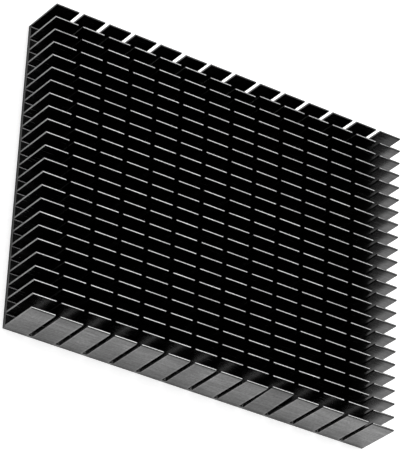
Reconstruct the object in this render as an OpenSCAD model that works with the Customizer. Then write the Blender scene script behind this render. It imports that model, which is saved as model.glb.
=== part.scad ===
// Plate-fin heat sink in one piece of extruded aluminium: thin fins on a thin base, cut to length and
// then sawn across, so that each fin is a row of short segments. A few segments are pushed over.
// The base lies on z = 0 with the fins up. X runs along the fins and Y across them.

/* [Fins] */
// Number of fins
fin_count = 24; // [6:1:40]
// Distance from the middle of one fin to the middle of the next
fin_pitch = 6.5; // [4:0.1:12]
// Thickness of a fin
fin_t = 0.85; // [0.6:0.05:2]
// Height of a fin above the base
fin_h = 22; // [8:0.5:40]
// Radius in the corner where a fin meets the base
root_r = 0.7; // [0.2:0.05:1.4]

/* [Base] */
// Thickness of the base
base_t = 2; // [1:0.1:8]

/* [Length and cross cuts] */
// Length that the bar is cut to
sink_l = 187.5; // [60:0.5:400]
// Length of a fin segment between two cross cuts
segment_l = 11.2; // [5:0.1:30]
// Width of a cross cut
cut_w = 2.3; // [1.3:0.1:5]
// How far a cross cut goes into the base
cut_in = 0.65; // [0.6:0.05:0.9]
// Radius in the two lower corners of a cross cut
cut_r = 0.6; // [0.1:0.05:0.6]

/* [Bent segments] */
// How far the tip of a strongly bent segment stands off its fin
lean_far = 1.15; // [0.3:0.05:2]
// How far the tip of a slightly bent segment stands off its fin
lean_slight = 0.4; // [0.1:0.05:1]

/* [Hidden] */
$fn = 48;

// Width over all the fins: the outer two stand flush with the edges of the base
sink_w = (fin_count - 1) * fin_pitch + fin_t;
sink_h = base_t + fin_h;
// Clear width of the air channel between two fins
channel_w = fin_pitch - fin_t;
// Height at which the corner radius ends and the flat side of a fin starts
root_top = base_t + root_r;
// As many cross cuts as leave the two end segments no shorter than the others
cut_pitch = segment_l + cut_w;
cut_count = floor((sink_l - segment_l) / cut_pitch);
// Height of the floor of a cross cut, and height at which its two walls turn straight
cut_floor = base_t - cut_in;
cut_wall = cut_floor + cut_r;
// How far a cutter reaches past the faces that it cuts through
overrun = 1;
// Fin counted from the +Y edge, segment counted from the -X end, and lean of its tip towards +Y
bent_segments = [
    [0, 5, -lean_slight],
    [1, 6, -lean_slight],
    [1, 7, -lean_far],
    [fin_count - 1, 9, lean_far]
];
aluminium_black = "#2a2a2c";

// Middle of a fin across the bar, counted from the +Y edge
function fin_y(fin) = (sink_w - fin_t) / 2 - fin * fin_pitch;

// Middle of a cross cut along the bar, counted from the -X end
function cut_x(cut) = (cut - (cut_count - 1) / 2) * cut_pitch;

// Two ends of a fin segment along the bar
function segment_from(segment) = segment == 0 ? -sink_l / 2 : cut_x(segment - 1) + cut_w / 2;
function segment_to(segment) = segment == cut_count ? sink_l / 2 : cut_x(segment) - cut_w / 2;

// Is there such a fin and such a segment at the present counts?
function is_present(bent) = bent[0] < fin_count && bent[1] <= cut_count;

// Stands a section across the bar and extrudes it from one place along the bar to another
module along_bar(from, to) {
    translate([from, 0, 0])
        rotate([90, 0, 90])
            linear_extrude(to - from)
                children();
}

// Section of one air channel, rounded at the roots of its two fins
module channel_section() {
    translate([-channel_w / 2, root_top])
        square([channel_w, fin_h]);
    translate([root_r - channel_w / 2, base_t])
        square([channel_w - 2 * root_r, fin_h]);
    for (side = [-1, 1])
        translate([side * (channel_w / 2 - root_r), root_top])
            circle(root_r);
}

// Section of the extruded bar: a block with the air channels taken out
module bar_section() {
    difference() {
        translate([-sink_w / 2, 0])
            square([sink_w, sink_h]);
        for (fin = [0 : fin_count - 2])
            translate([fin_y(fin) - fin_pitch / 2, 0])
                channel_section();
    }
}

// Section of one cross cut, rounded in its two lower corners as the teeth of the saw are
module cut_section() {
    translate([-cut_w / 2, cut_wall])
        square([cut_w, fin_h + overrun]);
    translate([cut_r - cut_w / 2, cut_floor])
        square([cut_w - 2 * cut_r, fin_h]);
    for (side = [-1, 1])
        translate([side * (cut_w / 2 - cut_r), cut_wall])
            circle(cut_r);
}

// Saw cuts across all the fins and a little way into the base
module cross_cuts() {
    for (cut = [0 : cut_count - 1])
        translate([cut_x(cut), sink_w / 2 + overrun, 0])
            rotate([90, 0, 0])
                linear_extrude(sink_w + 2 * overrun)
                    cut_section();
}

// Space of one straight segment above its root, half a channel and half a cut wide all round
module segment_space(fin, segment) {
    from = segment_from(segment) - cut_w / 2;
    to = segment_to(segment) + cut_w / 2;
    translate([from, fin_y(fin) - fin_pitch / 2, root_top])
        cube([to - from, fin_pitch, fin_h]);
}

// One segment that leans from its root to its tip
module bent_segment(fin, segment, lean) {
    along_bar(segment_from(segment), segment_to(segment))
        translate([fin_y(fin), 0])
            polygon([
                [-fin_t / 2, root_top],
                [fin_t / 2, root_top],
                [fin_t / 2 + lean, sink_h],
                [-fin_t / 2 + lean, sink_h]
            ]);
}

module heat_sink() {
    color(aluminium_black) {
        difference() {
            along_bar(-sink_l / 2, sink_l / 2)
                bar_section();
            cross_cuts();
            for (bent = bent_segments)
                if (is_present(bent))
                    segment_space(bent[0], bent[1]);
        }
        for (bent = bent_segments)
            if (is_present(bent))
                bent_segment(bent[0], bent[1], bent[2]);
    }
}

heat_sink();
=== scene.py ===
# %% [markdown]
# # A cross-cut plate-fin heat sink
# The object is one length of extruded aluminium: 24 thin fins on a thin base, sawn across 13 times, so that
# each fin is a row of 14 short segments, and then anodised black. Here it gets a mesh that follows the same
# rule, a satin black finish, a white floor, soft light and a camera. All sizes are in metres, and the frame
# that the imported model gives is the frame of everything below.

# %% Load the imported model
import math

import bmesh
import bpy
from mathutils import Matrix, Vector


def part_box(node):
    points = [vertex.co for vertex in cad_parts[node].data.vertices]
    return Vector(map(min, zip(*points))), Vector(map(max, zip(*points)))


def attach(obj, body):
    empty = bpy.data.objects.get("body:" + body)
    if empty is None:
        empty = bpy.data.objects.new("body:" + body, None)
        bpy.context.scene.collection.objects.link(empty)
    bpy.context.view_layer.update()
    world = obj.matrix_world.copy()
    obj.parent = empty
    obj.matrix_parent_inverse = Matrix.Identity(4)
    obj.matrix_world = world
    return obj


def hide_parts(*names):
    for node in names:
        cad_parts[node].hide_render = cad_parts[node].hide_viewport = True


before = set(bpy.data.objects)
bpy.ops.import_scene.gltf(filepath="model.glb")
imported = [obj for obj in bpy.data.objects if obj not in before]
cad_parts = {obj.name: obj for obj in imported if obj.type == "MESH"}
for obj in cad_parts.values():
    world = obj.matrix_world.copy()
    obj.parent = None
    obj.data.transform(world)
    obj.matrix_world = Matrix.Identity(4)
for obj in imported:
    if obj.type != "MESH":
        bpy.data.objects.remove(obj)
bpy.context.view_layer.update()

# %% [markdown]
# ## The sizes that drive the shape
# The overall box could be typed in, but here it comes from the solid itself, so the mesh cannot drift away
# from it. The other sizes are the ones that a drawing of the extrusion would give: how many fins, how thick,
# how deep the base is, and where the saw goes. The pitch of the fins then follows, because the outer two
# stand flush with the base's edges.

# %% Sizes of the bar and of its cuts
MM = 0.001
low, high = (Vector(corner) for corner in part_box("heat_sink"))
sink_length, sink_width, sink_height = high - low

FIN_COUNT = 24
SEGMENT_COUNT = 14
FIN_THICKNESS = 0.85 * MM
BASE_THICKNESS = 2.0 * MM
ROOT_RADIUS = 0.7 * MM
TIP_RADIUS = 0.3 * MM
SEGMENT_LENGTH = 11.2 * MM
CUT_WIDTH = 2.3 * MM
CUT_INTO_BASE = 0.65 * MM
CUT_RADIUS = 0.6 * MM
fin_pitch = (sink_width - FIN_THICKNESS) / (FIN_COUNT - 1)
cut_pitch = SEGMENT_LENGTH + CUT_WIDTH
print(f"length {sink_length / MM:.2f}, width {sink_width / MM:.2f}, height {sink_height / MM:.2f} mm")
print(f"a fin every {fin_pitch / MM:.3f} mm, a cut every {cut_pitch / MM:.2f} mm")

# %% [markdown]
# ## Small helpers for building node trees
# A tree of nodes could be drawn with the mouse, but a script that draws it can be read, checked and run
# again. Such a script is mostly "make a node, set its options, feed its inputs". A few short helpers take
# that over, and the same ones serve the shape and the finish.

# %% Helpers for nodes
def plug(tree, socket, value):
    """Feed a socket from another node's output, or set it to a plain value."""
    if isinstance(value, bpy.types.NodeSocket):
        tree.links.new(value, socket)
    else:
        socket.default_value = value


def add_node(tree, kind, inputs=None, **options):
    """Add a node, set its options and feed its inputs, which go by name or by number."""
    node = tree.nodes.new(kind)
    for option, value in options.items():
        setattr(node, option, value)
    for key, value in (inputs or {}).items():
        plug(tree, node.inputs[key], value)
    return node


def calc(tree, operation, *values):
    """The output of one Math node that works on these values."""
    return add_node(tree, "ShaderNodeMath", dict(enumerate(values)), operation=operation).outputs[0]


def split(tree, vector):
    """The X, Y and Z of a vector."""
    return add_node(tree, "ShaderNodeSeparateXYZ", {"Vector": vector}).outputs


# %% Helpers for a tree of shape nodes
def new_shape_tree(name, inputs):
    """An empty tree with these named inputs, a geometry output, and its group input and output nodes."""
    tree = bpy.data.node_groups.new(name, "GeometryNodeTree")
    for label, kind in inputs:
        tree.interface.new_socket(label, in_out="INPUT", socket_type="NodeSocket" + kind)
    tree.interface.new_socket("Geometry", in_out="OUTPUT", socket_type="NodeSocketGeometry")
    return tree, tree.nodes.new("NodeGroupInput").outputs, tree.nodes.new("NodeGroupOutput").inputs


def keep_value(tree, geometry, name, value, domain="POINT"):
    """Keep a number on every point, or every face, of the mesh under a name."""
    kept = {"Geometry": geometry, "Name": name, "Value": value}
    return add_node(tree, "GeometryNodeStoreNamedAttribute", kept, domain=domain).outputs["Geometry"]


def kept_value(tree, name):
    """Read back the number that was kept under this name."""
    return add_node(tree, "GeometryNodeInputNamedAttribute", {"Name": name}).outputs["Attribute"]


def point_place(tree):
    """The X, Y and Z of each point, or of the middle of each face."""
    return split(tree, tree.nodes.new("GeometryNodeInputPosition").outputs["Position"])


def place(tree, geometry, x, y, z, selection=True):
    """Move the selected points of the mesh to this place."""
    spot = add_node(tree, "ShaderNodeCombineXYZ", {"X": x, "Y": y, "Z": z}).outputs["Vector"]
    moved = {"Geometry": geometry, "Selection": selection, "Position": spot}
    return add_node(tree, "GeometryNodeSetPosition", moved).outputs["Geometry"]


# %% [markdown]
# ## One ring of a fin segment
# Every segment of the real bar has the same section: a hollow corner at the root, a straight side, and a
# rounded edge at the tip. One segment could be modelled and copied 336 times, but the copies would only touch
# the base. So all segments grow out of the base at the same time, one ring after the other: their top faces
# are extruded by nothing, and the new points are then moved to the height and width of the next ring. This
# group does one such step, and it serves the root, the side and the tip alike. Each point already knows the
# middle of its fin, the end of its segment and which side it is on.

# %% The group that raises one ring
def fin_side(tree, half_width):
    """Place across the bar of the two sides of each fin."""
    side, middle = kept_value(tree, "side_across"), kept_value(tree, "fin_middle")
    return calc(tree, "MULTIPLY_ADD", side, half_width, middle)


def keep_on_base(tree, across, base_half_width):
    """Hold a place across the bar between the two edges of the base."""
    across = calc(tree, "MINIMUM", across, base_half_width)
    return calc(tree, "MAXIMUM", across, calc(tree, "MULTIPLY", base_half_width, -1.0))


def make_ring_group():
    """Extrude the top faces of all segments and set the new ring's height and half width."""
    tree, given, result = new_shape_tree("raise_one_ring", [
        ("Geometry", "Geometry"), ("Top", "Bool"), ("Height", "Float"), ("Half Width", "Float"),
        ("Base Half Width", "Float"), ("Lean From", "Float"), ("Lean To", "Float"),
    ])
    tree.interface.new_socket("Top", in_out="OUTPUT", socket_type="NodeSocketBool")
    raised = add_node(tree, "GeometryNodeExtrudeMesh", {
        "Mesh": given["Geometry"], "Selection": given["Top"], "Offset Scale": 0.0, "Individual": False,
    }, mode="FACES").outputs
    # a bent segment leans more, the higher the ring is
    share = add_node(tree, "ShaderNodeMapRange", {
        "Value": given["Height"], "From Min": given["Lean From"], "From Max": given["Lean To"],
    }).outputs["Result"]
    across = calc(tree, "MULTIPLY_ADD", kept_value(tree, "lean"), share, fin_side(tree, given["Half Width"]))
    across = keep_on_base(tree, across, given["Base Half Width"])
    along = kept_value(tree, "segment_end")
    moved = place(tree, raised["Mesh"], along, across, given["Height"], selection=raised["Top"])
    plug(tree, result["Geometry"], moved)
    plug(tree, result["Top"], raised["Top"])
    return tree


ring_group = make_ring_group()
print("ring group:", len(ring_group.nodes), "nodes")

# %% [markdown]
# ## The grid that everything grows from
# The face of the real base is crossed by the fins one way and by the saw cuts the other way. So it is a grid:
# lines at both feet of each fin, lines at both edges of each cut, and a few more that go down the cut's
# rounded corners. The lines could be cut into a plane with the knife tool. A plain Grid with unit steps is
# simpler: it has the right number of lines, and its whole-number places say which segment and which fin a
# point belongs to, so that the real places can be worked out from them.

# %% The grid of feet
# lines from the edge of a cut down to its floor
CUT_STEPS = 5


def lay_out_feet(tree, given):
    """The base's face as a grid, with lines at both sides of each fin and along the floor of each cut."""
    arc_lines = calc(tree, "MULTIPLY", given["Cut Steps"], 2.0)
    lines_per_segment = calc(tree, "ADD", arc_lines, 2.0)
    columns = calc(tree, "SUBTRACT", calc(tree, "MULTIPLY", given["Segments"], lines_per_segment), arc_lines)
    rows = calc(tree, "MULTIPLY", given["Fins"], 2.0)
    last_column = calc(tree, "SUBTRACT", columns, 1.0)
    last_row = calc(tree, "SUBTRACT", rows, 1.0)
    grid = add_node(tree, "GeometryNodeMeshGrid", {
        "Size X": last_column, "Size Y": last_row, "Vertices X": columns, "Vertices Y": rows,
    }).outputs["Mesh"]
    position = point_place(tree)
    column = calc(tree, "ROUND", calc(tree, "MULTIPLY_ADD", last_column, 0.5, position["X"]))
    row = calc(tree, "ROUND", calc(tree, "MULTIPLY_ADD", last_row, 0.5, position["Y"]))
    # half of a cut's lines go down from the segment before it, and half go up to the one after it
    shifted = calc(tree, "ADD", column, given["Cut Steps"])
    along = calc(tree, "SUBTRACT", calc(tree, "MODULO", shifted, lines_per_segment), given["Cut Steps"])
    right = calc(tree, "GREATER_THAN", along, 0.5)
    beyond = calc(tree, "MAXIMUM", calc(tree, "SUBTRACT", along, 1.0), calc(tree, "MULTIPLY", along, -1.0))
    named = {
        "segment": calc(tree, "FLOOR", calc(tree, "DIVIDE", shifted, lines_per_segment)),
        "side_along": calc(tree, "MULTIPLY_ADD", right, 2.0, -1.0),
        "down_cut": calc(tree, "MAXIMUM", beyond, 0.0),
        "fin": calc(tree, "FLOOR", calc(tree, "MULTIPLY", row, 0.5)),
        "side_across": calc(tree, "MULTIPLY_ADD", calc(tree, "MODULO", row, 2.0), 2.0, -1.0),
    }
    for name, value in named.items():
        grid = keep_value(tree, grid, name, value)
    return grid


column_count = SEGMENT_COUNT * 2 * (CUT_STEPS + 1) - 2 * CUT_STEPS
print("grid of", column_count, "by", 2 * FIN_COUNT, "lines")

# %% [markdown]
# ## Bent segments
# The thin segments are easily pushed over when the bar is handled. Four of them lean so much that it shows,
# and all the rest are off by a few hundredths of a millimetre. They could be bent by hand in Edit Mode, but a
# short list can be changed at any time, and a seeded random number gives the rest their lean, the same in
# each run.

# %% Lean and tone of each segment
# fin from the near edge, segment from the left end, and how far the tip leans to the far edge
BENT_SEGMENTS = [(22, 6, -0.4 * MM), (22, 7, -1.15 * MM), (23, 5, -0.4 * MM), (0, 9, 1.15 * MM)]
WOBBLE = 0.03 * MM
SEED = 11
# two whole numbers on the mesh count as the same within this
SAME_NUMBER = 0.25


def add_segment_traits(tree, given, geometry):
    """Give each segment its lean and a small difference in tone."""
    fin, segment = kept_value(tree, "fin"), kept_value(tree, "segment")
    number = calc(tree, "MULTIPLY_ADD", fin, given["Segments"], segment)
    traits = []
    for step, (least, most) in enumerate([(-1.0, 1.0), (0.0, 1.0)]):
        seed = calc(tree, "ADD", given["Seed"], float(step))
        traits.append(add_node(tree, "FunctionNodeRandomValue", {
            2: least, 3: most, "ID": number, "Seed": seed,
        }, data_type="FLOAT").outputs[1])
    wobble, tone = traits
    lean = calc(tree, "MULTIPLY", wobble, given["Wobble"])
    for bent_fin, bent_segment, bend in BENT_SEGMENTS:
        is_fin = calc(tree, "COMPARE", fin, float(bent_fin), SAME_NUMBER)
        is_segment = calc(tree, "COMPARE", segment, float(bent_segment), SAME_NUMBER)
        lean = calc(tree, "MULTIPLY_ADD", calc(tree, "MULTIPLY", is_fin, is_segment), bend, lean)
    geometry = keep_value(tree, geometry, "lean", lean)
    return keep_value(tree, geometry, "segment_tone", tone)


print(len(BENT_SEGMENTS), f"bent segments, the others within {WOBBLE / MM:.2f} mm")

# %% [markdown]
# ## From whole numbers to real places
# On the real bar, the saw steps along by one segment and one cut at a time, and the two end segments take up
# what is left of the length. The points' numbers become places by the same rule. Points could also be placed
# one by one, but that would tie the mesh to one number of fins and cuts, and here both stay inputs. The floor
# of a cut lies a little below the base's face, with a quarter circle up to each wall, because a saw's teeth
# have rounded corners.

# %% Real places of the feet
def place_feet(tree, given, geometry):
    """Work out where along the bar each segment ends and where across it each fin stands."""
    def from_middle(index, count):
        middle = calc(tree, "MULTIPLY_ADD", count, 0.5, -0.5)
        return calc(tree, "SUBTRACT", index, middle)

    segment, side_along = kept_value(tree, "segment"), kept_value(tree, "side_along")
    saw_step = calc(tree, "ADD", given["Segment Length"], given["Cut Width"])
    half_segment = calc(tree, "MULTIPLY", given["Segment Length"], 0.5)
    segment_middle = calc(tree, "MULTIPLY", from_middle(segment, given["Segments"]), saw_step)
    end = calc(tree, "MULTIPLY_ADD", side_along, half_segment, segment_middle)
    # the two outer lines of the grid are the ends of the bar
    half_length = calc(tree, "MULTIPLY", given["Length"], 0.5)
    outermost = calc(tree, "MULTIPLY", calc(tree, "MULTIPLY", given["Segments"], saw_step), 0.5)
    outermost = calc(tree, "SUBTRACT", outermost, given["Cut Width"])
    is_outer = calc(tree, "GREATER_THAN", calc(tree, "ABSOLUTE", end), outermost)
    bar_end = calc(tree, "MULTIPLY", calc(tree, "SIGN", end), half_length)
    missing = calc(tree, "SUBTRACT", bar_end, end)
    end = calc(tree, "MULTIPLY_ADD", is_outer, missing, end)
    at_cut = calc(tree, "MULTIPLY", side_along, calc(tree, "SUBTRACT", 1.0, is_outer))
    fin_middle = calc(tree, "MULTIPLY", from_middle(kept_value(tree, "fin"), given["Fins"]), given["Pitch"])
    geometry = keep_value(tree, geometry, "cut_side", at_cut)
    geometry = keep_value(tree, geometry, "segment_end", end)
    return keep_value(tree, geometry, "fin_middle", fin_middle)


end_segment = (sink_length - (SEGMENT_COUNT - 2) * cut_pitch - CUT_WIDTH) / 2
print(f"segments {SEGMENT_LENGTH / MM:.2f} mm long, and {end_segment / MM:.2f} mm at the ends")


# %% Floor of the cuts
def down_the_cut(tree, given):
    """Place along the bar and height of each grid line: down the rounded corner of a cut, or on the base."""
    radius, step = given["Cut Radius"], kept_value(tree, "down_cut")
    # step 0 is the edge on the base's face, step 1 the start of the rounded corner, and the last the floor
    arc_steps = calc(tree, "SUBTRACT", given["Cut Steps"], 1.0)
    done = calc(tree, "DIVIDE", calc(tree, "SUBTRACT", step, 1.0), arc_steps)
    angle = calc(tree, "MULTIPLY", calc(tree, "MAXIMUM", done, 0.0), math.pi / 2)
    inwards = calc(tree, "SUBTRACT", radius, calc(tree, "MULTIPLY", radius, calc(tree, "COSINE", angle)))
    along = calc(tree, "MULTIPLY_ADD", kept_value(tree, "cut_side"), inwards, kept_value(tree, "segment_end"))
    straight = calc(tree, "SUBTRACT", given["Cut Into Base"], radius)
    drop = calc(tree, "MULTIPLY_ADD", radius, calc(tree, "SINE", angle), straight)
    drop = calc(tree, "MULTIPLY", drop, calc(tree, "GREATER_THAN", step, 0.5))
    return along, calc(tree, "SUBTRACT", given["Base Thickness"], drop)


print(f"cuts leave {(BASE_THICKNESS - CUT_INTO_BASE) / MM:.2f} mm of the base")

# %% [markdown]
# ## The whole bar as one tree
# With the grid laid out, the tree raises the feet ring by ring: a quarter circle at the root, the straight
# side up to the tip, and a small quarter circle round the tip's edge. The open rim of the base is then pulled
# down, the underside is closed with a flat copy of the grid, and the doubled points are merged. That gives
# one closed body, as the real extrusion is. Solids and booleans would give the same form, but with stray
# slivers. Here each of the 336 segments has only a few dozen faces.

# %% Rings along a quarter circle
# rings in the quarter circles of the root and of the tip
ROOT_STEPS = 4
TIP_STEPS = 4


def add_arc_rings(tree, geometry, top, steps, shared, arc):
    """Raise rings along a quarter circle. arc turns an angle into the ring's height and half width."""
    start = tree.nodes.new("GeometryNodeRepeatInput")
    end = tree.nodes.new("GeometryNodeRepeatOutput")
    start.pair_with_output(end)
    end.repeat_items.new("BOOLEAN", "Top")
    for name, value in (("Iterations", steps), ("Geometry", geometry), ("Top", top)):
        plug(tree, start.inputs[name], value)
    done = calc(tree, "DIVIDE", calc(tree, "ADD", start.outputs["Iteration"], 1.0), steps)
    angle = calc(tree, "MULTIPLY", done, math.pi / 2)
    inputs = {name: start.outputs[name] for name in ("Geometry", "Top")}
    inputs.update(shared, **arc(angle))
    ring = add_node(tree, "GeometryNodeGroup", inputs, node_tree=ring_group).outputs
    for name in ("Geometry", "Top"):
        plug(tree, end.inputs[name], ring[name])
    return end.outputs["Geometry"], end.outputs["Top"]


segment_faces = 4 * (ROOT_STEPS + 1 + TIP_STEPS) + 1
print(segment_faces, "faces on one segment")


# %% Rings of the root, the side and the tip
def raise_segments(tree, given, geometry, top, root_top, tip_start):
    """Grow all fin segments from their feet to their tips."""
    half_fin = calc(tree, "MULTIPLY", given["Fin Thickness"], 0.5)
    root, tip = given["Root Radius"], given["Tip Radius"]
    foot = calc(tree, "ADD", half_fin, root)
    shared = {
        "Base Half Width": calc(tree, "MULTIPLY", given["Width"], 0.5),
        "Lean From": root_top, "Lean To": given["Height"],
    }

    def root_arc(angle):
        sine, cosine = calc(tree, "SINE", angle), calc(tree, "COSINE", angle)
        return {
            "Half Width": calc(tree, "SUBTRACT", foot, calc(tree, "MULTIPLY", root, sine)),
            "Height": calc(tree, "SUBTRACT", root_top, calc(tree, "MULTIPLY", root, cosine)),
        }

    def tip_arc(angle):
        sine, cosine = calc(tree, "SINE", angle), calc(tree, "COSINE", angle)
        inset = calc(tree, "SUBTRACT", tip, calc(tree, "MULTIPLY", tip, cosine))
        return {
            "Half Width": calc(tree, "SUBTRACT", half_fin, inset),
            "Height": calc(tree, "MULTIPLY_ADD", tip, sine, tip_start),
        }

    geometry, top = add_arc_rings(tree, geometry, top, given["Root Steps"], shared, root_arc)
    side = add_node(tree, "GeometryNodeGroup", {
        "Geometry": geometry, "Top": top, "Height": tip_start, "Half Width": half_fin, **shared,
    }, node_tree=ring_group).outputs
    return add_arc_rings(tree, side["Geometry"], side["Top"], given["Tip Steps"], shared, tip_arc)[0]


straight_side = sink_height - TIP_RADIUS - BASE_THICKNESS - ROOT_RADIUS
print(f"the straight side of a segment is {straight_side / MM:.1f} mm high")

# %% Rounded faces and their shading
TINY = 0.001 * MM
SHARP_ANGLE = math.radians(32)


def mark_rounded(tree, given, geometry, root_top, tip_start):
    """Mark the faces at the cuts, the roots and the tips that are neither flat base nor flat top."""
    height = point_place(tree)["Z"]
    rounded = calc(tree, "MAXIMUM", calc(tree, "LESS_THAN", height, root_top),
                   calc(tree, "GREATER_THAN", height, tip_start))
    for flat in (given["Base Thickness"], given["Height"]):
        off_flat = calc(tree, "ABSOLUTE", calc(tree, "SUBTRACT", height, flat))
        rounded = calc(tree, "MULTIPLY", rounded, calc(tree, "GREATER_THAN", off_flat, TINY))
    return keep_value(tree, geometry, "rounded", rounded, domain="FACE")


def shade_rounded(tree, geometry):
    """Shade the rounded faces smoothly, and leave every other face flat with sharp edges."""
    geometry = add_node(tree, "GeometryNodeSetShadeSmooth", {
        "Geometry": geometry, "Shade Smooth": True,
    }, domain="FACE").outputs["Geometry"]
    # on an edge, the mark of its two faces averages to 1 only where both are rounded
    both_rounded = calc(tree, "GREATER_THAN", kept_value(tree, "rounded"), 1.0 - SAME_NUMBER)
    angle = tree.nodes.new("GeometryNodeInputMeshEdgeAngle").outputs["Unsigned Angle"]
    shallow = calc(tree, "LESS_THAN", angle, SHARP_ANGLE)
    return add_node(tree, "GeometryNodeSetShadeSmooth", {
        "Geometry": geometry, "Shade Smooth": calc(tree, "MULTIPLY", both_rounded, shallow),
    }, domain="EDGE").outputs["Geometry"]


print(f"edges stay sharp from {math.degrees(SHARP_ANGLE):.0f} degrees")


# %% The base below the fins
def is_foot(tree):
    """True on the grid faces that lie inside one fin and one segment."""
    def on_face(name):
        value = kept_value(tree, name)
        return add_node(tree, "GeometryNodeFieldOnDomain", {0: value}, domain="FACE").outputs[0]

    # no corner of such a face lies down a cut, and the mean of its corners' fin numbers is whole
    above_cut = calc(tree, "LESS_THAN", on_face("down_cut"), SAME_NUMBER)
    off_whole = calc(tree, "FRACT", calc(tree, "ADD", on_face("fin"), SAME_NUMBER))
    return calc(tree, "MULTIPLY", above_cut, calc(tree, "LESS_THAN", off_whole, 2 * SAME_NUMBER))


def close_base(tree, finned, flat):
    """Pull the open rim down to the floor and close the underside."""
    neighbours = tree.nodes.new("GeometryNodeInputMeshEdgeNeighbors").outputs["Face Count"]
    rim = calc(tree, "COMPARE", neighbours, 1.0, SAME_NUMBER)
    walls = add_node(tree, "GeometryNodeExtrudeMesh", {
        "Mesh": finned, "Selection": rim, "Offset Scale": 0.0,
    }, mode="EDGES").outputs
    spot = point_place(tree)
    walls = place(tree, walls["Mesh"], spot["X"], spot["Y"], 0.0, selection=walls["Top"])
    under = place(tree, flat, spot["X"], spot["Y"], 0.0)
    under = add_node(tree, "GeometryNodeFlipFaces", {"Mesh": under}).outputs["Mesh"]
    both = tree.nodes.new("GeometryNodeJoinGeometry")
    for part in (walls, under):
        tree.links.new(part, both.inputs["Geometry"])
    merged = {"Geometry": both.outputs["Geometry"], "Distance": TINY}
    return add_node(tree, "GeometryNodeMergeByDistance", merged).outputs["Geometry"]


print(FIN_COUNT * SEGMENT_COUNT, "feet on the base")

# %% Inputs of the bar
BAR_INPUTS = [
    ("Fins", "Int", FIN_COUNT),
    ("Segments", "Int", SEGMENT_COUNT),
    ("Pitch", "Float", fin_pitch),
    ("Fin Thickness", "Float", FIN_THICKNESS),
    ("Segment Length", "Float", SEGMENT_LENGTH),
    ("Cut Width", "Float", CUT_WIDTH),
    ("Cut Into Base", "Float", CUT_INTO_BASE),
    ("Cut Radius", "Float", CUT_RADIUS),
    ("Cut Steps", "Int", CUT_STEPS),
    ("Length", "Float", sink_length),
    ("Width", "Float", sink_width),
    ("Height", "Float", sink_height),
    ("Base Thickness", "Float", BASE_THICKNESS),
    ("Root Radius", "Float", ROOT_RADIUS),
    ("Tip Radius", "Float", TIP_RADIUS),
    ("Root Steps", "Int", ROOT_STEPS),
    ("Tip Steps", "Int", TIP_STEPS),
    ("Wobble", "Float", WOBBLE),
    ("Seed", "Int", SEED),
    ("Finish", "Material", None),
]
print("the bar has", len(BAR_INPUTS), "named inputs")

# %% The tree of the bar
# numbers that the tree keeps on the mesh while it works, and removes at the end
WORKING_VALUES = [
    "segment", "fin", "side_along", "side_across", "down_cut", "cut_side", "lean", "segment_end",
    "fin_middle", "rounded",
]


def make_bar_tree():
    """The tree that makes the finned bar from its named sizes."""
    tree, given, result = new_shape_tree("finned_bar", [(label, kind) for label, kind, _ in BAR_INPUTS])
    flat = place_feet(tree, given, add_segment_traits(tree, given, lay_out_feet(tree, given)))
    foot = calc(tree, "MULTIPLY_ADD", given["Fin Thickness"], 0.5, given["Root Radius"])
    across = keep_on_base(tree, fin_side(tree, foot), calc(tree, "MULTIPLY", given["Width"], 0.5))
    along, height = down_the_cut(tree, given)
    flat = place(tree, flat, along, across, height)
    root_top = calc(tree, "ADD", given["Base Thickness"], given["Root Radius"])
    tip_start = calc(tree, "SUBTRACT", given["Height"], given["Tip Radius"])
    finned = raise_segments(tree, given, flat, is_foot(tree), root_top, tip_start)
    finned = mark_rounded(tree, given, finned, root_top, tip_start)
    body = shade_rounded(tree, close_base(tree, finned, flat))
    for name in WORKING_VALUES:
        removed = {"Geometry": body, "Name": name}
        body = add_node(tree, "GeometryNodeRemoveAttribute", removed).outputs["Geometry"]
    body = add_node(tree, "GeometryNodeRealizeInstances", {"Geometry": body}).outputs["Geometry"]
    finished = {"Geometry": body, "Material": given["Finish"]}
    plug(tree, result["Geometry"], add_node(tree, "GeometryNodeSetMaterial", finished).outputs["Geometry"])
    return tree


bar_tree = make_bar_tree()
print("bar tree:", len(bar_tree.nodes), "nodes")

# %% [markdown]
# ## Satin black anodising
# Anodising grows a thin hard layer on the aluminium and dyes it black, and what shows is a dark metal with a
# satin sheen. The draw lines of the die run along every extruded face, the sawn ends have fine marks across
# them, and the tone differs a little from place to place. A picture wrapped round the part could show that,
# but it would need a map of 336 segments. Noise on Object coordinates needs none: it stays put on the part,
# and each pattern is only a number of grains per metre along X, Y and Z.

# %% A finish to start from
def new_finish(name):
    """An empty material with a Principled shader."""
    material = bpy.data.materials.new(name)
    material.use_nodes = True
    tree = material.node_tree
    tree.nodes.clear()
    shader = tree.nodes.new("ShaderNodeBsdfPrincipled")
    output = tree.nodes.new("ShaderNodeOutputMaterial")
    tree.links.new(shader.outputs["BSDF"], output.inputs["Surface"])
    return material, tree, shader.inputs


# most of a noise lies in this range
NOISE_LOW, NOISE_HIGH = 0.3, 0.7


def spread(tree, value, least, most, start=NOISE_LOW, stop=NOISE_HIGH):
    """Stretch a value from the range between start and stop to the one between least and most."""
    return add_node(tree, "ShaderNodeMapRange", {
        "Value": value, "From Min": start, "From Max": stop, "To Min": least, "To Max": most,
    }).outputs["Result"]


def ramp(tree, value, start, stop):
    """0 up to start, 1 from stop on, and an even rise between them."""
    return spread(tree, value, 0.0, 1.0, start, stop)


# %% Patterns of the metal
# grains per metre along X, Y and Z, and how many finer layers lie over them
PATTERNS = {
    "draw lines": ((90.0, 1300.0, 1300.0), 4.0),
    "wide streaks": ((30.0, 320.0, 320.0), 2.0),
    "blotches": ((90.0, 90.0, 90.0), 4.0),
    "grain": ((1000.0, 1000.0, 1000.0), 2.0),
    "saw marks": ((40.0, 60.0, 2200.0), 3.0),
}


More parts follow.
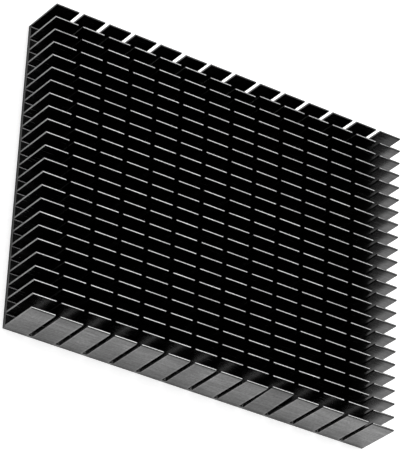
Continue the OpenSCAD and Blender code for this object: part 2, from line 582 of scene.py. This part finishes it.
def add_patterns(tree, coordinates, sawn):
    """The noise of each pattern by name, with the lines of the die or, on sawn faces, of the saw."""
    patterns = {}
    for name, (scale, detail) in PATTERNS.items():
        mapped = add_node(tree, "ShaderNodeMapping", {"Vector": coordinates, "Scale": scale})
        patterns[name] = add_node(tree, "ShaderNodeTexNoise", {
            "Vector": mapped.outputs["Vector"], "Scale": 1.0, "Detail": detail,
        }).outputs["Fac"]
    patterns["lines"] = add_node(tree, "ShaderNodeMix", {
        0: sawn, 2: patterns["draw lines"], 3: patterns["saw marks"],
    }).outputs[0]
    return patterns


for name, (scale, _) in PATTERNS.items():
    print(name + ": about", " x ".join(f"{1 / (grains * MM):.1f}" for grains in scale), "mm")

# %% [markdown]
# ## Painted light and shade, and wear on the tips
# The finish is not the same all over, and most of what changes from place to place here is painted light and
# shade. Deep between the fins the colour is darkened as painted shade, so the outer faces stand a little
# paler.
# The tips are partly worn by rubbing and partly given a painted highlight; at one end, along the far edge and
# where the saw cut them they get painted shade instead. The sawn faces are paler partly from the saw and
# partly as painted light, but deep in the cuts and on the far fin they get painted shade. The edges of the
# cuts and the roots get painted highlights, the sides get painted shade high up and in a rim below the tips,
# and the ends of the bar get painted shade towards their feet. All of this could be painted on by hand, but
# the paint would be lost with the next change of size. So each place is a value from 0 to 1 that is worked
# out from where a point lies and which way its face looks.

# %% Tips and painted shade between the fins
TIP_DEPTH = 0.25 * MM
# how far the face of a tip looks up, from not part of the tip to fully part of it
TIP_FACING = (0.9, 1.0)
# how far behind the ends and behind the outer sides the painted shade between the fins is full
END_SHADE_DEPTH = 6.5 * MM
SIDE_SHADE_DEPTH = 3.0 * MM
# the least painted shade on a fin's sides, right at the end of the bar
LEAST_END_SHADE = 0.55
# where along the bar the tips go from their painted highlight to painted shade
OUTER_END = (sink_length / 2 - 12.0 * MM, sink_length / 2 - 4.0 * MM)


def tips_and_painted_shade(tree, spot, facing, sawn, from_end, outer_fin):
    """1 on tips with real rubbing and a painted highlight, 1 on tips with painted shade, and 1 deep between
    the fins, where shade is painted.
    """
    near_top = ramp(tree, spot["Z"], sink_height - TIP_DEPTH, sink_height)
    on_tip = calc(tree, "MULTIPLY", near_top, ramp(tree, facing["Z"], *TIP_FACING))
    # the tips at one end of the bar and along the far edge get painted shade
    outer = calc(tree, "MAXIMUM", ramp(tree, spot["X"], *OUTER_END), outer_fin)
    shaded_outer_tip = calc(tree, "MULTIPLY", on_tip, outer)
    rubbed_and_highlit = calc(tree, "SUBTRACT", on_tip, shaded_outer_tip)
    # painted shade lies on the sides of the fins even at their ends, but not on the sawn ends of the bar
    least = spread(tree, sawn, LEAST_END_SHADE, 0.0, 0.0, 1.0)
    behind_end = calc(tree, "MAXIMUM", ramp(tree, from_end, 0.0, END_SHADE_DEPTH), least)
    behind_end = calc(tree, "MAXIMUM", behind_end, outer_fin)
    # the outer two fins turn one side inwards, and that side gets as much painted shade as the rest
    from_side = calc(tree, "SUBTRACT", sink_width / 2, calc(tree, "ABSOLUTE", spot["Y"]))
    inwards = calc(tree, "LESS_THAN", calc(tree, "MULTIPLY", facing["Y"], spot["Y"]), 0.0)
    behind_side = calc(tree, "MAXIMUM", ramp(tree, from_side, 0.0, SIDE_SHADE_DEPTH), inwards)
    # painted shade, full deep between the fins and kept off the tips
    shade_between_fins = calc(tree, "MINIMUM", behind_end, behind_side)
    return rubbed_and_highlit, shaded_outer_tip, calc(tree, "MULTIPLY", shade_between_fins, calc(tree, "SUBTRACT", 1.0, on_tip))


print(f"shelter starts {SIDE_SHADE_DEPTH / MM:.1f} mm behind a side and {END_SHADE_DEPTH / MM:.1f} mm behind an end")

# %% Cuts and roots
# the edges of the cuts and the hollow roots get a painted highlight
EDGE_WIDTH = 0.9 * MM
# how far a face at the root has to look up to be part of the hollow corner
ROOT_FACING = 0.1
# a little less than half the radius, so that the flat face of the base stays out
ROOT_REACH = 0.499 * ROOT_RADIUS


def near_cut(tree, spot, from_end):
    """1 in and at the edges of the cross cuts, falling to 0 a little way along each segment."""
    # one cut lies in the middle of the bar, so the distance to the nearest cut's middle repeats from there
    from_cut = calc(tree, "PINGPONG", spot["X"], cut_pitch / 2)
    near = spread(tree, from_cut, 1.0, 0.0, CUT_WIDTH / 2, CUT_WIDTH / 2 + EDGE_WIDTH)
    return calc(tree, "MULTIPLY", near, calc(tree, "GREATER_THAN", from_end, SEGMENT_LENGTH / 2))


def in_root(tree, spot, facing):
    """1 in the hollow corners at the feet of the fins."""
    upwards = calc(tree, "GREATER_THAN", facing["Z"], ROOT_FACING)
    at_root = calc(tree, "COMPARE", spot["Z"], BASE_THICKNESS + ROOT_RADIUS / 2, ROOT_REACH)
    return calc(tree, "MULTIPLY", upwards, at_root)


print(f"pale edges {EDGE_WIDTH / MM:.1f} mm wide at the cuts, and {ROOT_RADIUS / MM:.1f} mm high roots")

# %% All places of the finish
# a face looks along an axis where that part of its normal is longer than this
FACING = 0.7
# across the bar, from the last channel to the far fin
OUTER_FIN = (sink_width / 2 - 2.0 * MM, sink_width / 2 - 1.0 * MM)
BAR_END_DEPTH = 0.01 * MM
# nearness to a cut, from the tip's own tone to its painted shade
TIP_END = (0.7, 0.85)
END_FOOT_HEIGHT = 4.5 * MM
# heights between which painted shade darkens the sides below the tips
UPPER_SIDE = (18.7 * MM, 21.0 * MM)
RIM = (22.9 * MM, 23.4 * MM)


def find_places(tree, spot, facing):
    """Every place where the finish or its painted light and shade differs, by name, as a value from 0 to 1.
    """
    def both(first, second):
        return calc(tree, "MULTIPLY", first, second)

    sawn = calc(tree, "GREATER_THAN", calc(tree, "ABSOLUTE", facing["X"]), FACING)
    on_side = calc(tree, "GREATER_THAN", calc(tree, "ABSOLUTE", facing["Y"]), FACING)
    from_end = calc(tree, "SUBTRACT", sink_length / 2, calc(tree, "ABSOLUTE", spot["X"]))
    outer_fin = ramp(tree, spot["Y"], *OUTER_FIN)
    rubbed_and_highlit, shaded_outer_tip, shade_between_fins = tips_and_painted_shade(tree, spot, facing, sawn, from_end, outer_fin)
    on_tip = calc(tree, "ADD", rubbed_and_highlit, shaded_outer_tip)
    at_cut = near_cut(tree, spot, from_end)
    bar_end = both(sawn, calc(tree, "LESS_THAN", from_end, BAR_END_DEPTH))
    return {
        # real rubbing and a painted highlight on the tips
        "rubbed tip": rubbed_and_highlit,
        # painted shade on the tips at one end and along the far edge
        "shaded outer tip": shaded_outer_tip,
        # painted shade on the tips at the cuts
        "shaded tip end": both(on_tip, ramp(tree, at_cut, *TIP_END)),
        # painted shade on the sawn faces deep in the cuts and on the far fin
        "shaded deep sawn": both(sawn, shade_between_fins),
        "shaded outer sawn": both(sawn, outer_fin),
        # painted shade deep between the fins
        "shade_between_fins": shade_between_fins,
        # sawn faces paler, partly from the saw and partly as painted light
        "sawn": sawn,
        # painted highlight at the edges of the cuts
        "cut edge highlight": both(at_cut, calc(tree, "SUBTRACT", 1.0, on_tip)),
        # painted highlight in the hollow roots
        "root": in_root(tree, spot, facing),
        # painted shade at the feet of the bar's sawn ends
        "shaded end foot": both(bar_end, spread(tree, spot["Z"], 1.0, 0.0, 0.0, END_FOOT_HEIGHT)),
        # painted shade high on the sides
        "shaded upper side": both(on_side, ramp(tree, spot["Z"], *UPPER_SIDE)),
        # painted shade in a rim just below the tips
        "rim": both(on_side, ramp(tree, spot["Z"], *RIM)),
    }


print(f"the dark rim starts {(sink_height - RIM[0]) / MM:.1f} mm below the tips")

# %% [markdown]
# ## Tone, roughness and relief
# A dyed layer on metal mirrors like metal, only darker, so the shader is fully metallic and its colour is a
# dark grey. A flat grey would look like paint. Here the grey is multiplied by one tone for each pattern and
# each place, so that any of them can be changed alone. Most places carry painted light and shade, and so do
# the rise towards the tips and the fall towards the underside. The lines also change the roughness and the
# relief, which makes the sheen break up along them.

# %% Tones of the black finish
BLACK_SHEEN = 0.18
# lowest and highest tone of each pattern, and the tone of each place
PATTERN_TONES = {
    "blotches": (0.86, 1.14), "wide streaks": (0.90, 1.10), "lines": (0.80, 1.20), "grain": (0.82, 1.18),
}
# the tips get real rubbing and a painted highlight, the edges of the cuts and the roots painted highlights,
# the sawn faces a paler tone that is partly the saw's and partly painted light, and every other place here is
# painted shade
PLACE_TONES = {
    "rubbed tip": 1.5, "shaded outer tip": 0.4, "shaded tip end": 0.25, "shaded deep sawn": 0.4, "shaded outer sawn": 0.3,
    "shade_between_fins": 0.2, "sawn": 1.25, "cut edge highlight": 1.6, "root": 1.4, "shaded end foot": 0.12, "shaded upper side": 0.82,
    "rim": 0.4,
}
SEGMENT_TONES = (0.95, 1.05)
# painted light: everything grows paler from the base's face up to the tips
TOP_LIGHT = 1.25
# painted shade: darker towards the underside
FOOT_SHADE = 0.55
FOOT_HEIGHT = 1.5 * BASE_THICKNESS


def black_brightness(tree, spot, patterns, places):
    """The brightness of the finish at each point, with its painted light and shade."""
    segment_tone = add_node(tree, "ShaderNodeAttribute", attribute_name="segment_tone").outputs["Fac"]
    shades = [spread(tree, patterns[name], *tones) for name, tones in PATTERN_TONES.items()]
    shades.append(spread(tree, segment_tone, *SEGMENT_TONES, 0.0, 1.0))
    shades += [spread(tree, places[name], 1.0, tone, 0.0, 1.0) for name, tone in PLACE_TONES.items()]
    # painted light rising towards the tips, and painted shade towards the underside
    shades.append(spread(tree, spot["Z"], 1.0, TOP_LIGHT, BASE_THICKNESS, sink_height))
    shades.append(spread(tree, spot["Z"], FOOT_SHADE, 1.0, 0.0, FOOT_HEIGHT))
    bright = BLACK_SHEEN
    for shade in shades:
        bright = calc(tree, "MULTIPLY", bright, shade)
    return bright


print("tones of", len(PATTERN_TONES), "patterns and", len(PLACE_TONES), "places")

# %% The black finish
LINE_ROUGHNESS = (0.20, 0.27)
BLOTCH_ROUGHNESS = (-0.03, 0.03)
SAWN_ROUGHNESS = 0.06
RELIEF_STRENGTH = 0.6
RELIEF_DEPTH = 0.1 * MM


def make_black_anodised():
    """Dark satin metal with draw lines, saw marks, soft blotches, rubbing on the tips, and painted light and
    shade.
    """
    material, tree, shader = new_finish("satin_black_anodising")
    where = tree.nodes.new("ShaderNodeTexCoord").outputs
    spot, facing = split(tree, where["Object"]), split(tree, where["Normal"])
    places = find_places(tree, spot, facing)
    patterns = add_patterns(tree, where["Object"], places["sawn"])
    bright = black_brightness(tree, spot, patterns, places)
    colour = add_node(tree, "ShaderNodeCombineColor", {"Red": bright, "Green": bright, "Blue": bright})
    plug(tree, shader["Base Color"], colour.outputs["Color"])
    plug(tree, shader["Metallic"], 1.0)
    rough = spread(tree, patterns["lines"], *LINE_ROUGHNESS)
    rough = calc(tree, "ADD", rough, spread(tree, patterns["blotches"], *BLOTCH_ROUGHNESS))
    plug(tree, shader["Roughness"], calc(tree, "MULTIPLY_ADD", places["sawn"], SAWN_ROUGHNESS, rough))
    relief = add_node(tree, "ShaderNodeBump", {
        "Strength": RELIEF_STRENGTH, "Distance": RELIEF_DEPTH, "Height": patterns["lines"],
    })
    plug(tree, shader["Normal"], relief.outputs["Normal"])
    return material


black_anodised = make_black_anodised()
print("finish:", black_anodised.name, len(black_anodised.node_tree.nodes), "nodes")

# %% [markdown]
# ## From the tree to a plain mesh
# The bar could keep its modifier, but here the part becomes a plain mesh. So the modifier's inputs are set,
# by the identifier of each socket and before the object is evaluated for the first time, the evaluated result
# is copied to a plain mesh, and the modifier goes with the object that carried it. A closed body has no open
# edge, and its volume should be close to that of the solid.

# %% Make the finned bar
scene = bpy.context.scene


def mesh_from_tree(name, tree, values):
    """Run a tree of shape nodes once and keep what it makes as an object with a plain mesh."""
    maker = bpy.data.objects.new(name + "_maker", bpy.data.meshes.new(name + "_maker"))
    scene.collection.objects.link(maker)
    modifier = maker.modifiers.new("shape", "NODES")
    modifier.node_group = tree
    sockets = {item.name: item.identifier for item in tree.interface.items_tree if item.in_out == "INPUT"}
    for label, value in values.items():
        modifier[sockets[label]] = value
    evaluated = maker.evaluated_get(bpy.context.evaluated_depsgraph_get())
    mesh = bpy.data.meshes.new_from_object(evaluated)
    mesh.name = name
    bpy.data.objects.remove(maker)
    piece = bpy.data.objects.new(name, mesh)
    scene.collection.objects.link(piece)
    return piece


bar_values = {label: value for label, _, value in BAR_INPUTS}
bar_values["Finish"] = black_anodised
finned_bar = mesh_from_tree("finned_bar", bar_tree, bar_values)
print(len(finned_bar.data.vertices), "points,", len(finned_bar.data.polygons), "faces")


# %% Measure the mesh
def measure(piece):
    """Number of open edges and volume of a piece."""
    probe = bmesh.new()
    probe.from_mesh(piece.data)
    open_edges = sum(not edge.is_manifold for edge in probe.edges)
    volume = probe.calc_volume(signed=True)
    probe.free()
    return open_edges, volume


open_edges, volume = measure(finned_bar)
print("open edges:", open_edges, "volume:", round(volume / MM**3), "mm3")

# %% Put it in the frame
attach(finned_bar, "root")
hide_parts("heat_sink")
print(finned_bar.name, "stands for the solid")

# %% [markdown]
# ## Floor, surroundings and light
# A black satin part shows mostly what it mirrors, so lamps alone would leave it black with a few bright
# spots. White surroundings draw its outer faces in a soft grey, and the channels between the fins stay black,
# because there the fins only mirror each other and a dark card at the front right, and because painted shade
# darkens them too. One large softbox hangs above, beyond the part and to its right, where the tips mirror it.
# The right-hand tips mirror its edge, so their shine falls off to that side, and painted shade on them adds
# to the fall.

# %% White floor
FLOOR_SIZE = 8.0
FLOOR_COLOUR = (0.9, 0.9, 0.9, 1.0)
FLOOR_ROUGHNESS = 0.9
FLOOR_GLOW_SEEN = 0.5
FLOOR_GLOW_MIRRORED = 0.15
WHITE = (1.0, 1.0, 1.0, 1.0)


def seen_and_mirrored(tree):
    """1 for what the camera sees straight, and 1 for what it sees by reflection or through glass."""
    path = tree.nodes.new("ShaderNodeLightPath").outputs
    return path["Is Camera Ray"], calc(tree, "MAXIMUM", path["Is Glossy Ray"], path["Is Transmission Ray"])


floor_finish, floor_tree, floor_shader = new_finish("white_floor")
seen, mirrored = seen_and_mirrored(floor_tree)
glow = calc(floor_tree, "MULTIPLY", seen, FLOOR_GLOW_SEEN)
for name, value in {
    "Base Color": FLOOR_COLOUR,
    "Roughness": FLOOR_ROUGHNESS,
    "Specular IOR Level": 0.0,
    "Emission Color": WHITE,
    "Emission Strength": calc(floor_tree, "MULTIPLY_ADD", mirrored, FLOOR_GLOW_MIRRORED, glow),
}.items():
    plug(floor_tree, floor_shader[name], value)

bpy.ops.mesh.primitive_plane_add(size=FLOOR_SIZE)
floor = bpy.context.object
floor.name = "floor"
floor.data.materials.append(floor_finish)
print("floor:", FLOOR_SIZE, "m square")

# %% White surroundings
# how white the surroundings look, and the even light that they give
HORIZON = 1.0
OVERHEAD = 0.5
SKY_HEIGHTS = (0.2, 0.9)
WORLD_LIGHT = 0.75
# the dark card: where it stands, how soft its edge is, and how much white it leaves
CARD_DIRECTION = Vector((0.48, -0.75, 0.45)).normalized()
CARD_EDGE = (0.68, 0.85)
CARD_TONE = 0.05

world = bpy.data.worlds.new("white_surroundings")
scene.world = world
world.use_nodes = True
world_tree = world.node_tree
background = world_tree.nodes["Background"]
direction = world_tree.nodes.new("ShaderNodeTexCoord").outputs["Generated"]
sky = spread(world_tree, split(world_tree, direction)["Z"], HORIZON, OVERHEAD, *SKY_HEIGHTS)
seen, mirrored = seen_and_mirrored(world_tree)
in_view = calc(world_tree, "MAXIMUM", seen, mirrored)
strength = add_node(world_tree, "ShaderNodeMix", {0: in_view, 2: WORLD_LIGHT, 3: sky}).outputs[0]
# only reflections show the dark card
towards_card = add_node(world_tree, "ShaderNodeVectorMath", {
    0: direction, 1: CARD_DIRECTION,
}, operation="DOT_PRODUCT").outputs["Value"]
on_card = calc(world_tree, "MULTIPLY", mirrored, ramp(world_tree, towards_card, *CARD_EDGE))
strength = calc(world_tree, "MULTIPLY", strength, spread(world_tree, on_card, 1.0, CARD_TONE, 0.0, 1.0))
plug(world_tree, background.inputs["Color"], WHITE)
plug(world_tree, background.inputs["Strength"], strength)
print("surroundings:", HORIZON, "at the horizon and", OVERHEAD, "overhead")

# %% Softbox
SOFTBOX_PLACE = Vector((0.25, 0.16, 0.62))
SOFTBOX_AIM = Vector((0.0, 0.0, 0.02))
SOFTBOX_SIZE = 0.55
SOFTBOX_POWER = 1.9

lamp = bpy.data.lights.new("key_softbox", "AREA")
lamp.shape = "RECTANGLE"
lamp.size = lamp.size_y = SOFTBOX_SIZE
lamp.energy = SOFTBOX_POWER
softbox = bpy.data.objects.new("key_softbox", lamp)
scene.collection.objects.link(softbox)
softbox_turn = (SOFTBOX_AIM - SOFTBOX_PLACE).to_track_quat("-Z", "Y")
softbox.matrix_world = Matrix.LocRotScale(SOFTBOX_PLACE, softbox_turn, None)
print("softbox:", SOFTBOX_SIZE, "m square,", SOFTBOX_POWER, "W")

# %% [markdown]
# ## Camera
# The picture was taken with a long lens from the left front, well above the part, and the camera was rolled,
# so that the fins run down to the right. A camera could be turned until it fits by eye. A direction, a roll
# about it and a distance say the same in numbers that mean something.

# %% Camera of the photograph
AZIMUTH = math.radians(-44.330)
ELEVATION = math.radians(47.831)
ROLL = math.radians(55.952)
AIM = Vector((-3.88, -1.05, 12.0)) * MM
DISTANCE = 1.4121
LENS = 252.14

towards_camera = Vector((math.sin(AZIMUTH) * math.cos(ELEVATION),
                         -math.cos(AZIMUTH) * math.cos(ELEVATION), math.sin(ELEVATION)))
level = towards_camera.to_track_quat("Z", "Y").to_matrix().to_4x4()
rolled = level @ Matrix.Rotation(ROLL, 4, "Z")
camera = bpy.data.objects.new("camera", bpy.data.cameras.new("camera"))
camera.data.lens = LENS
camera.matrix_world = Matrix.Translation(AIM + towards_camera * DISTANCE) @ rolled
scene.collection.objects.link(camera)
scene.camera = camera
scene.view_settings.view_transform = "Standard"
print("camera at", tuple(round(c, 3) for c in camera.matrix_world.translation))
